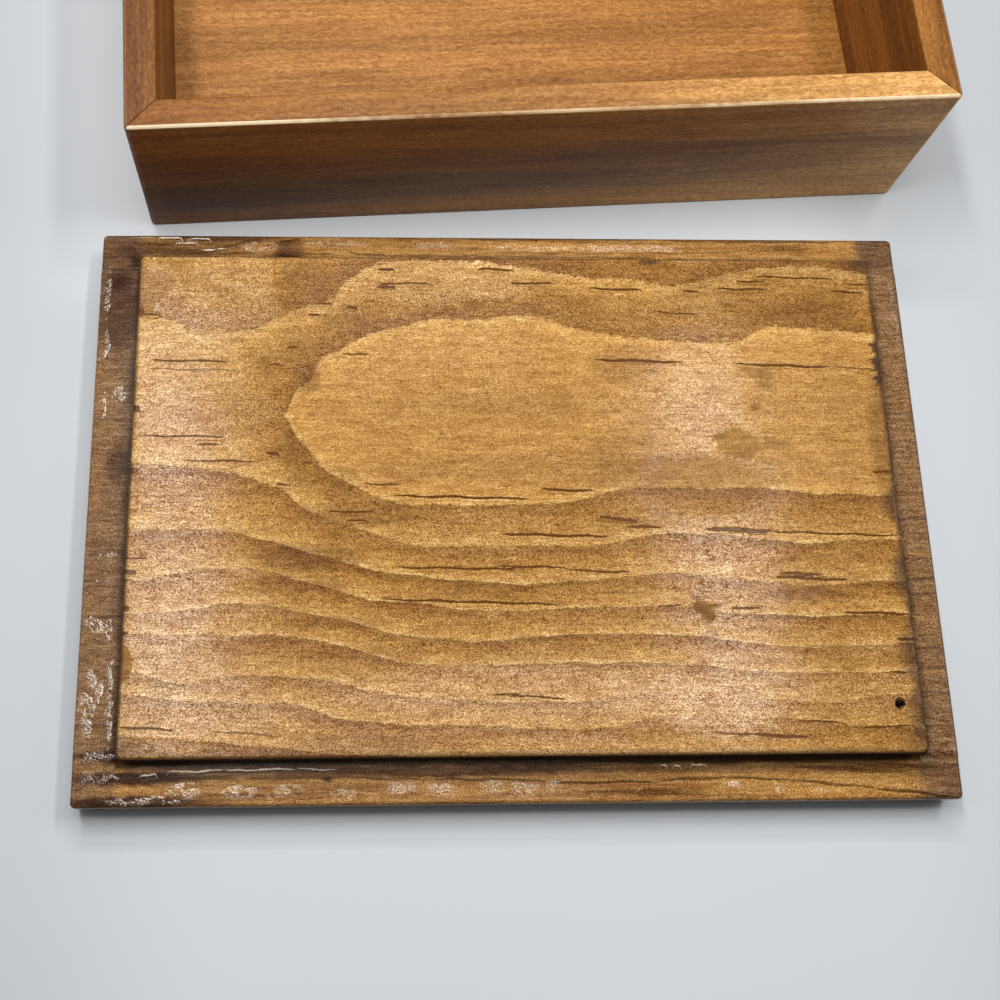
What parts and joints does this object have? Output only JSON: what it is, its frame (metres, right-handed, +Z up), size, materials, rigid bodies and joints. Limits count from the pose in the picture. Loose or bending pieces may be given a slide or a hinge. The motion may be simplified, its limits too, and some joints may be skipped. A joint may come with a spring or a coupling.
{
  "type": "trinket box",
  "caption": "Small rectangular box of mitred pine walls on a let-in bottom board, with a solid rebated lid that lifts off and is shown lying upside down in front.",
  "frame": {"origin": "middle of the bounding box of the box and the lid beside it, on the surface that both stand on", "axes": "+X along the length of the box, to the right seen from the front; +Y from the lid towards the back of the box; +Z up"},
  "size_m": [0.2144, 0.2934, 0.0475],
  "materials": {
    "stained_pine_walls": "brown stain under a satin varnish",
    "stained_pine_bottom": "brown stain under a satin varnish",
    "stained_pine_lid": "honey brown stain under a satin varnish, rougher and darker in the rebates"
  },
  "bodies": {
    "box": {"front_wall": "stained_pine_walls", "back_wall": "stained_pine_walls", "left_wall": "stained_pine_walls", "right_wall": "stained_pine_walls", "bottom_panel": "stained_pine_bottom"},
    "lid": {"lid_board": "stained_pine_lid"}
  },
  "joints": [
    {"name": "lid_lift", "type": "slide", "parent": "box", "child": "lid", "axis": [0, 0, 1], "range_m": [0, 0.09]}
  ]
}
